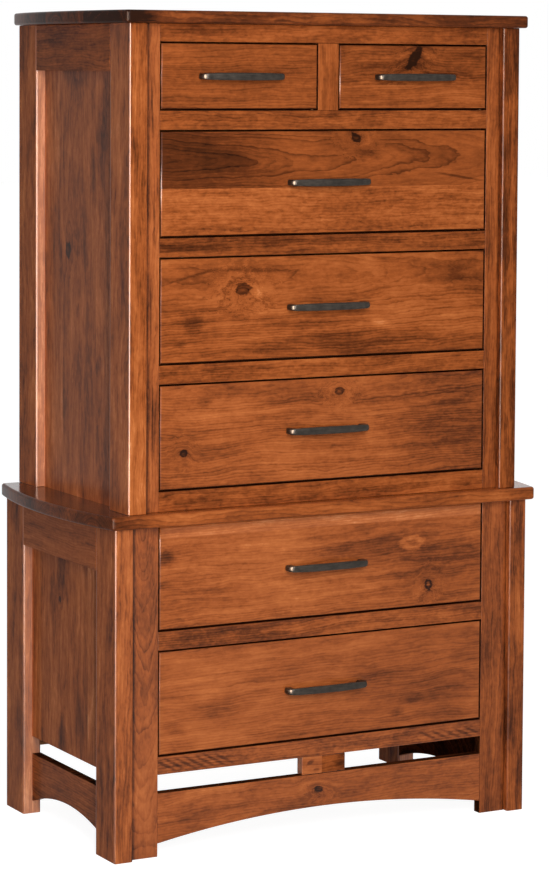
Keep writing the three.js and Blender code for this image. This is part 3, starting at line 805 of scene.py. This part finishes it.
def web_frame(node, look, centre_half=0.0, guides=True):
    """A frame under or over drawers; centre_half is half the width of a middle runner."""
    low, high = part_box(node)
    top = high[2] - (guide_height if guides else 0.0)
    web_low = top - web_stock
    face, back, edge = low[1], high[1], high[0]
    web_front = face + face_stock + glue_gap
    end = jamb - glue_gap
    rail_low = (-end, face, low[2])
    rail_high = (end, face + face_stock, top)
    place = (rail_low, rail_high, "x", "y", frame_round)
    # The rail's upper and lower faces line the gaps and get painted shade.
    wooden_stick(f"{node}_rail", node, *place, {**rail_look, **look}, gaps=faces_along("z"))
    inner = jamb - runner_reach
    near, far = web_front + web_width, back - web_width
    parts = {
        "front_member": ((-inner, web_front, web_low), (inner, near, top), "x"),
        "back_member": ((-inner, far, web_low), (inner, back, top), "x"),
    }
    for hand, sign in (("left", -1), ("right", 1)):
        a, b = sorted((sign * inner, sign * edge))
        parts[f"runner_{hand}"] = ((a, web_front, low[2]), (b, back, top), "y")
        if guides:
            strip = jamb - box_side_gap + guide_gap
            a, b = sorted((sign * strip, sign * (strip + guide_stock)))
            parts[f"guide_{hand}"] = ((a, web_front, top), (b, back, top + guide_height), "y")
    if centre_half:
        parts["centre_runner"] = ((-centre_half, near, low[2]), (centre_half, far, top), "y")
    for number, (part, (a, b, grain)) in enumerate(parts.items()):
        own = {"seed": look["seed"] + seed_step * (number + 1)}
        inner_stick(f"{node}_{part}", node, a, b, grain, "z", member_round, own)


streaks = [(-0.345 + 0.021 * k, 0.0, 0.03, 0.0036, -0.21, 0.5) for k in range(7)]
streaks += [(0.24 + 0.026 * k, -0.004, 0.024, 0.0036, -0.2, 0.42) for k in range(5)]
web_frame("base_frame_bottom", {"seed": 51.0, "shine": 0.15, "patches": streaks})
dark_part = (-0.25, 0.0, 0.17, 0.05, -0.13, 0.0)
web_frame("base_frame_middle", {"seed": 52.0, "shine": 0.1, "patches": [dark_part]})


# Base top. Glued up from long boards, straight at the front and back, with its side edges bowed
# outwards and every edge rounded over; it reaches a little past the posts.
def bend(start, tip, end, count):
    """Points of a bend from start to end that aims at the tip."""
    shares = [step / count for step in range(count + 1)]
    return [start * (1 - t) ** 2 + tip * 2 * t * (1 - t) + end * t * t for t in shares]


def bowed_top(low, high, bow, edge_round, corner, steps=40, round_steps=6, bend_steps=8):
    """A top lofted from its outline, drawn in towards its two faces to round the edge."""
    middle_y = (low[1] + high[1]) / 2
    half = (high[1] - low[1]) / 2
    corner_x = high[0] - bow
    radius = (half * half + bow * bow) / (2 * bow)
    centre = corner_x + bow - radius
    blend = edge_round + corner
    swing = math.asin((half - blend) / radius)
    right = []
    for step in range(steps + 1):
        angle = swing * (2 * step / steps - 1)
        out, over = radius * math.cos(angle), radius * math.sin(angle)
        right.append(Vector((centre + out, middle_y + over)))
    near_end = Vector((corner_x - blend, low[1]))
    far_end = Vector((corner_x - blend, high[1]))
    side = bend(near_end, Vector((corner_x, low[1])), right[0], bend_steps)
    side += right[1:-1]
    side += bend(right[-1], Vector((corner_x, high[1])), far_end, bend_steps)
    outline = side + [Vector((-p.x, p.y)) for p in reversed(side)]
    count = len(outline)
    inward = []
    for k in range(count):
        along = (outline[(k + 1) % count] - outline[k - 1]).normalized()
        inward.append(Vector((-along.y, along.x)))
    form = bmesh.new()
    layers = []
    for face, sign in ((low[2], -1), (high[2], 1)):
        for step in range(round_steps + 1):
            share = step if sign < 0 else round_steps - step
            angle = math.pi / 2 * share / round_steps
            draw = edge_round * (1 - math.sin(angle))
            lift = face - sign * edge_round * (1 - math.cos(angle))
            spots = [p + n * draw for p, n in zip(outline, inward)]
            layers.append([form.verts.new((p.x, p.y, lift)) for p in spots])
    for under, over in zip(layers, layers[1:]):
        for k in range(count):
            ahead = (k + 1) % count
            strip = form.faces.new((under[k], under[ahead], over[ahead], over[k]))
            strip.material_index = 1
    form.faces.new(list(reversed(layers[0])))
    form.faces.new(layers[-1])
    return form


board_round = 0.005
board_corner = 0.003
side_bow = 0.031
top_gloss = {"shine": 0.3, "rough": 0.18, "edge_shine": 0.04}


def glued_top(name, node, joints, looks):
    """A top of long boards, listed from the front to the back."""
    low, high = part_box(node)
    form = glued_up(bowed_top(low, high, side_bow, board_round, board_corner), "y", joints)
    finishes = boards_of(node, low, high, "x", "z", "y", joints, looks, **top_gloss)
    shown(name, form, node, finishes)


dark_end = [(-0.48, 0.0, 0.12, 0.2, -0.24, 0.0)]
base_top_looks = [
    {"seed": 61.0 + k, "tone": t, "side": 0.02 * k, "patches": dark_end}
    for k, t in enumerate((0.0, 0.0, -0.06, -0.04))
]
glued_top("base_top_boards", "base_top", (-0.14, 0.01, 0.13), base_top_looks)

# Posts, stiles, side rails and side panels of the upper case. It is built like the base, 27 mm
# narrower on each side, and its four posts stand on the base's top.
upper_post_looks = {
    "front_left": {"seed": 71.0, "tone": 0.055, "side": 0.05, "depth": 0.05, "shine": 0.035},
    "front_right": {"seed": 72.0, "tone": -0.13, "side": 0.09, "edge_shine": 0.12},
    "back_left": {"seed": 73.0, "tone": 0.1, "side": 0.07, "depth": 0.05},
    "back_right": {"seed": 74.0, "side": 0.05, "depth": 0.06},
}
for place, look in upper_post_looks.items():
    corner_post("upper", place, look)
stile_streaks = [
    (0.3, -0.001, 0.06, 0.0025, -0.26, 0.02),
    (0.1, 0.004, 0.08, 0.002, -0.24, 0.0),
    (-0.08, -0.003, 0.07, 0.0025, -0.26, 0.01),
    (-0.3, 0.002, 0.1, 0.002, -0.22, 0.0),
]
upper_stile_looks = {
    "left": {"seed": 75.0, "tone": 0.06, "side": 0.05, "shine": 0.12, "patches": stile_streaks},
    "right": {"seed": 76.0, "tone": -0.03, "side": 0.07, "shine": 0.05},
}
for hand, look in upper_stile_looks.items():
    face_stile("upper", hand, look)
side_rail("upper_side_rail_left", {"seed": 77.0, "tone": -0.1})
side_rail("upper_side_rail_right", {"seed": 78.0})
upper_panel_joints = (-0.062, 0.09)
upper_panel_looks = {
    "left": [
        {
            "seed": 81.0, "tone": 0.05, "side": 0.05, "shine": 0.04,
            "patches": [(0.24, -0.045, 0.16, 0.035, 0.14, 0.0)],
        },
        {
            "seed": 82.0, "tone": 0.02, "side": 0.01, "shine": 0.04,
            "knots": [(0.06, 0.05, 0.017, 0.012, 0.012, 0.0)],
            "patches": [(0.34, 0.0, 0.3, 0.12, -0.07, 0.0), (-0.24, 0.03, 0.2, 0.06, 0.05, 0.0)],
        },
        {"seed": 83.0, "tone": 0.09, "side": 0.08, "shine": 0.04},
    ],
    "right": [{"seed": 84.0 + k, "tone": 0.03 * (k % 2), "side": 0.04 * k} for k in range(3)],
}
for hand, looks in upper_panel_looks.items():
    side_panel(f"upper_side_panel_{hand}", upper_panel_joints, looks)
look = {**sheet_look, "seed": 88.0}
place = (*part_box("upper_back_panel"), "z", "y", back_round)
inner_stick("upper_back_sheet", "upper_back_panel", *place, look)

# Web frames of the upper case, with the divider between the two small drawers. They are made as
# in the base; the one under the small drawers has a broad runner in the middle as well, and a
# guide strip lies on it behind the divider.
web_frame("upper_frame_bottom", {"seed": 91.0})
web_frame("upper_frame_lower", {"seed": 92.0, "patches": [dark_part]})
web_frame("upper_frame_upper", {"seed": 93.0, "tone": -0.1})
web_frame("upper_frame_small", {"seed": 94.0}, centre_half=0.055)
web_frame("upper_frame_top", {"seed": 95.0}, guides=False)
place = (*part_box("upper_divider"), "z", "y", frame_round)
wooden_stick("upper_divider_stick", "upper_divider", *place, {"seed": 96.0}, gaps=side_gaps)
place = (*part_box("upper_centre_guide"), "y", "z", frame_round)
inner_stick("upper_centre_strip", "upper_centre_guide", *place, {"seed": 97.0})

# Top board. Made like the base's top and a little thinner, and bowed at its side edges as well.
top_looks = [
    {"seed": 101.0 + k, "tone": t, "side": 0.03 * k, "patches": dark_end}
    for k, t in enumerate((-0.24, -0.1, -0.14, -0.1))
]
glued_top("top_boards", "top_board", (-0.12, 0.04, 0.15), top_looks)

# Drawer fronts. Solid boards set flush in their openings, glued up where they are wide, with the
# four edges of the face rounded over. Each shows knots and figure of its own.
front_round = 0.0035
front_joints = {
    "base_drawer_upper": (0.607,),
    "wide_drawer_upper": (1.266,),
    "small_drawer_right": (1.462,),
}
front_looks = {
    "base_drawer_lower": [{
        "seed": 111.0, "tone": 0.035, "bands": 0.5, "flecks": 0.2, "shine": 0.12,
        "patches": [
            (-0.328, -0.05, 0.03, 0.014, -0.15, 0.3),
            (0.202, -0.04, 0.03, 0.013, -0.16, 0.1),
            (0.167, -0.068, 0.02, 0.009, -0.14, 0.0),
            (0.24, 0.0, 0.22, 0.14, -0.1, 0.0),
        ],
    }],
    "base_drawer_upper": [
        {
            "seed": 112.0, "tone": 0.06, "shine": 0.1,
            "knots": [(0.236, -0.045, 0.009, 0.011, 0.03, 0.0)],
            "patches": [
                (0.212, -0.058, 0.022, 0.013, 0.14, -0.5),
                (-0.345, 0.05, 0.022, 0.018, -0.26, 0.3),
                (0.197, 0.041, 0.029, 0.016, 0.6, 0.0),
                (0.197, 0.041, 0.02, 0.010, -0.5, 0.0),
                (0.236, -0.045, 0.005, 0.006, 0.35, 0.0),
                (0.13, 0.04, 0.17, 0.035, -0.09, 0.0),
                (0.27, -0.03, 0.18, 0.12, -0.12, 0.0),
            ],
        },
        {"seed": 112.5, "tone": 0.2, "side": 0.2, "shine": 0.2, "edge_shine": 0.06},
    ],
    "wide_drawer_lower": [{
        "seed": 113.0, "rings": 0.22, "shine": 0.07,
        "knots": [
            (-0.309, -0.031, 0.008, 0.008, 0.02, 0.0),
            (0.03, 0.073, 0.011, 0.008, 0.045, 0.0),
        ],
        "patches": [
            (0.3, 0.0, 0.17, 0.14, -0.11, 0.0),
            (0.035, 0.066, 0.035, 0.016, 0.12, 0.2),
            (-0.262, 0.066, 0.02, 0.012, -0.12, 0.0),
        ],
    }],
    "wide_drawer_middle": [{
        "seed": 114.0, "tone": 0.035, "side": 0.06, "rings": 0.26,
        "knots": [(-0.183, 0.038, 0.017, 0.012, 0.05, 0.1)],
        "patches": [
            (-0.285, 0.067, 0.07, 0.003, -0.1, -0.226),
            (-0.165, 0.034, 0.05, 0.018, 0.1, 0.0),
            (0.12, -0.036, 0.035, 0.010, 0.16, 0.3),
            (-0.291, -0.024, 0.032, 0.024, -0.19, 0.3),
            (-0.32, -0.064, 0.014, 0.007, -0.14, 0.0),
            (-0.15, 0.073, 0.09, 0.005, -0.14, 0.03),
            (0.16, -0.078, 0.28, 0.034, -0.16, 0.02),
            (0.33, 0.05, 0.07, 0.05, -0.12, 0.0),
        ],
    }],
    "wide_drawer_upper": [
        {
            "seed": 115.0, "tone": 0.04, "flecks": 0.5,
            "patches": [(0.11, -0.031, 0.06, 0.009, -0.14, 0.0)],
        },
        {
            "seed": 115.5, "tone": -0.05, "side": 0.0, "lean": 0.07,
            "rings": 0.2, "bands": 0.4, "clouds": 0.5, "flecks": 0.2,
            "knots": [(0.062, 0.04, 0.012, 0.009, 0.06, 0.3)],
            "patches": [
                (-0.3, 0.0, 0.21, 0.075, -0.27, 0.0),
                (0.09, 0.01, 0.034, 0.011, -0.12, 0.2),
                (0.297, -0.037, 0.062, 0.003, -0.2, 0.155),
            ],
        },
    ],
    "small_drawer_left": [{
        "seed": 116.0, "tone": -0.065, "bands": 0.4, "clouds": 0.5, "streaks": 0.12,
    }],
    "small_drawer_right": [
        {"seed": 117.0, "tone": -0.01},
        {
            "seed": 117.5, "tone": -0.05,
            "knots": [(0.001, 0.014, 0.029, 0.010, 0.02, -0.94)],
            "patches": [(0.11, 0.01, 0.07, 0.05, -0.07, 0.0)],
        },
    ],
}


def lines_front_gap(normal):
    """Picks the sides, the upper edge, and the lower edge with its rounding, which line the gaps
    and get painted shade.
    """
    return normal.z < -half_turned or normal.z > square_on or abs(normal.x) > square_on


for drawer, looks in front_looks.items():
    node = f"{drawer}_front"
    joints = front_joints.get(drawer, ())
    low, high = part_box(node)
    form = sawn(low, high)
    round_over(form, front_round, 6, lies_at("y", low[1]))
    glued_up(gloss_for_left_highlight(form), "z", joints)
    finishes = boards_of(node, low, high, "x", "y", "z", joints, looks)
    finishes = shade_gap_faces(form, finishes, lines_front_gap)
    shown(f"{node}_board", form, node, finishes, drawer)

# Drawer boxes. Pale hardwood sides joined to an inner front and a back, with a thin floor let in
# above the lower edges; the box is screwed behind the front.
drawer_wood_tones = [
    (0.0, (0.20, 0.10, 0.035)),
    (1.0, (0.80, 0.62, 0.38)),
    (0.4, (0.50, 0.31, 0.14)),
    (0.65, (0.63, 0.43, 0.22)),
]
drawer_wood_finish = tone_ramp("drawer_wood_finish", drawer_wood_tones)
drawer_look = {"colours": drawer_wood_finish, "rough": 0.38, "shine": 0.3, "clouds": 0.3}
box_wall = {"wide": 0.013, "base": 0.013, "small": 0.012}
box_round = 0.0008
box_floor = 0.006
box_floor_recess = 0.010
gap_shade_turn = 0.3
for drawer, looks in front_looks.items():
    node = f"{drawer}_box"
    low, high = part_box(node)
    wall = box_wall[drawer.split("_")[0]]
    left, right = low[0] + wall, high[0] - wall
    near, far = low[1] + wall, high[1] - wall
    floor_low = low[2] + box_floor_recess
    parts = {
        "side_left": (tuple(low), (left, high[1], high[2]), "y", "x"),
        "side_right": ((right, low[1], low[2]), tuple(high), "y", "x"),
        "inner_front": ((left, low[1], low[2]), (right, near, high[2]), "x", "y"),
        "back": ((left, far, low[2]), (right, high[1], high[2]), "x", "y"),
        "floor": ((left, near, floor_low), (right, far, floor_low + box_floor), "x", "z"),
    }
    for number, (part, (a, b, grain, face)) in enumerate(parts.items()):
        look = {"seed": looks[0]["seed"] + seed_step * (number + 1), **drawer_look}
        place = (a, b, grain, face, box_round)
        # Faces of the box that look out through the gaps get the painted gap shade.
        gaps = (lambda n: n.y < -gap_shade_turn) if part != "back" else None
        wooden_stick(f"{drawer}_{part}", node, *place, look, drawer, "drawer_wood", gaps)

# Pulls. Flat bars of darkened bronze, bowed outwards, with their ends turned back to two feet; a
# machine screw from inside the drawer holds each foot.
dark_bronze = [(0.3, (0.018, 0.015, 0.012)), (0.75, (0.060, 0.049, 0.040))]
bronze_tones = tone_ramp("bronze_tones", dark_bronze)
pull_metal = bpy.data.materials.new("dark_bronze")
tree = emptied(pull_metal)
here = tree.nodes.new("ShaderNodeTexCoord").outputs["Object"]
worn = noise(tree, here, (90.0, 90.0, 90.0), 3.0)
brushed = noise(tree, here, (40.0, 900.0, 900.0), 2.0)
metal_level = calc(tree, "MULTIPLY_ADD", worn, 0.5, calc(tree, "MULTIPLY", brushed, 0.5))
metal_colour = add(tree, "ShaderNodeGroup", {"Tone": metal_level}, node_tree=bronze_tones)
metal_bump = add(tree, "ShaderNodeBump", {"Strength": 0.1, "Distance": 0.0004, "Height": brushed})
look = {
    "Base Color": metal_colour.outputs[0],
    "Metallic": 0.8,
    "Roughness": remap(tree, metal_level, 0.2, 0.8, 0.26, 0.42),
    "Normal": metal_bump.outputs[0],
}
put_out(tree, add(tree, "ShaderNodeBsdfPrincipled", look))
pull_length = 0.176
pull_end_reach = 0.023
pull_middle_reach = 0.027
pull_bar = 0.006
pull_foot = 0.016
pull_bend = 0.013
pull_height = 0.0145
pull_end_share = 0.78
pull_taper_power = 3
pull_edge_depth = 0.0026
pull_edge_height = 0.4
pull_bend_steps = 8
pull_sweep_steps = 40
screw_shank = 0.0022
screw_grip = 0.007
screw_head = 0.0045
screw_head_height = 0.003
screw_dome = ((0.0044, 0.0014), (0.0036, 0.0005), (0.0022, 0.0), (0.0012, 0.0), (0.0008, 0.0012))


def pull_line(half, foot, reach, crown, corner):
    """One side of the bar in plan, from foot to foot."""
    start = [Vector((-half, 0.0)), Vector((-half, (foot - reach) / 2))]
    turn_end = Vector((corner - half, -reach))
    turn = bend(Vector((-half, foot - reach)), Vector((-half, -reach)), turn_end, pull_bend_steps)
    sweep_end = Vector((half - corner, -reach))
    sweep = bend(turn[-1], Vector((0.0, -crown)), sweep_end, pull_sweep_steps)
    line = start + turn + sweep[1:]
    return line + [Vector((-p.x, p.y)) for p in reversed(line[: len(start) + len(turn) - 1])]


def joined(form, rings):
    """Closes a row of rings into one skin."""
    for one, two in zip(rings, rings[1:]):
        for k in range(len(one)):
            form.faces.new((one[k], one[(k + 1) % len(one)], two[(k + 1) % len(one)], two[k]))
    form.faces.new(list(reversed(rings[0])))
    form.faces.new(rings[-1])
    bmesh.ops.recalc_face_normals(form, faces=form.faces[:])


def bar_pull(middle_x, face_y, middle_z):
    """The bar of one pull, a little lower at its ends, its long edges softly rounded."""
    half = pull_length / 2
    crown = 2 * pull_middle_reach - pull_end_reach
    outer = pull_line(half, pull_bend, pull_end_reach, crown, pull_bend)
    inner_reach = pull_end_reach - pull_bar
    inner = pull_line(half - pull_foot, pull_bar, inner_reach, crown - pull_bar, pull_bar)
    form = bmesh.new()
    corner_steps = 6
    rings = []
    for out, back in zip(outer, inner):
        taper = 1 - (1 - pull_end_share) * abs(out.x / half) ** pull_taper_power
        tall = pull_height / 2 * taper
        edge = tall * 2 * pull_edge_height
        wide = (back - out).length
        way = (back - out).normalized()
        ring = []
        for cu, cv, start in ((1, 1, 0), (0, 1, 1), (0, 0, 2), (1, 0, 3)):
            for step in range(corner_steps + 1):
                angle = math.pi / 2 * (start + step / corner_steps)
                u = pull_edge_depth * math.cos(angle)
                u += wide - pull_edge_depth if cu else pull_edge_depth
                v = edge * math.sin(angle) + (tall - edge if cv else edge - tall)
                spot = out + way * u
                ring.append(form.verts.new((middle_x + spot.x, face_y + spot.y, middle_z + v)))
        rings.append(ring)
    joined(form, rings)
    return form


def turned(form, middle_x, middle_z, profile, steps=24):
    """Spins a profile of (distance, y) points about a line that runs along y."""
    rings = []
    for distance, y in profile:
        ring = []
        for step in range(steps):
            angle = 2 * math.pi * step / steps
            over, up = distance * math.cos(angle), distance * math.sin(angle)
            ring.append(form.verts.new((middle_x + over, y, middle_z + up)))
        rings.append(ring)
    joined(form, rings)


for drawer in front_looks:
    node = f"{drawer}_pull"
    low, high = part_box(node)
    middle_x, _, middle_z = middle_of(low, high)
    face_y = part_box(f"{drawer}_front")[0][1]
    form = bar_pull(middle_x, face_y, middle_z)
    shown(f"{node}_bar", form, node, [pull_metal], drawer)
    screws = bmesh.new()
    head = high[1]
    profile = [(screw_shank, face_y - screw_grip), (screw_shank, head - screw_head_height)]
    profile.append((screw_head, head - screw_head_height))
    profile += [(distance, head - drop) for distance, drop in screw_dome]
    for sign in (-1, 1):
        centre = middle_x + sign * (pull_length - pull_foot) / 2
        turned(screws, centre, middle_z, profile)
    shown(f"{node}_screws", screws, node, [pull_metal], drawer)
